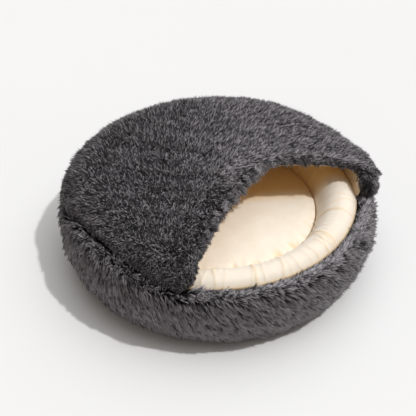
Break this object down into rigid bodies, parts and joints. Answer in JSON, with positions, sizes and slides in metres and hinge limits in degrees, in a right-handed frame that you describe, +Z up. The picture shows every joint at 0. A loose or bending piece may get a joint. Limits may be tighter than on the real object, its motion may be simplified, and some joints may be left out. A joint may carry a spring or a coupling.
{
  "type": "hooded donut pet bed",
  "caption": "Round plush pet bed: a stuffed long-pile fur ring with a gathered inner roll, a soft cushion inside and a flat fur hood over the back, open at the front.",
  "frame": {"origin": "centre of the bed's outline, on the surface that it rests on", "axes": "+Z up; -Y towards the side where the hood is open; +X to the right of someone who faces the opening"},
  "size_m": [0.5008, 0.5002, 0.1474],
  "materials": {
    "grey_pile": "long-pile polyester fur, soft and clumped, charcoal grey",
    "cream_plush": "short brushed polyester plush, matt, warm cream",
    "base_cloth": "plain woven polyester, matt, dark grey"
  },
  "bodies": {
    "root": {"base_cloth": "base_cloth", "fur_ring": "grey_pile", "plush_roll": "cream_plush", "cushion": "cream_plush", "fur_hood": "grey_pile", "hood_lining": "cream_plush", "hood_edge_locks": "grey_pile", "ring_edge_locks": "grey_pile"}
  },
  "joints": []
}
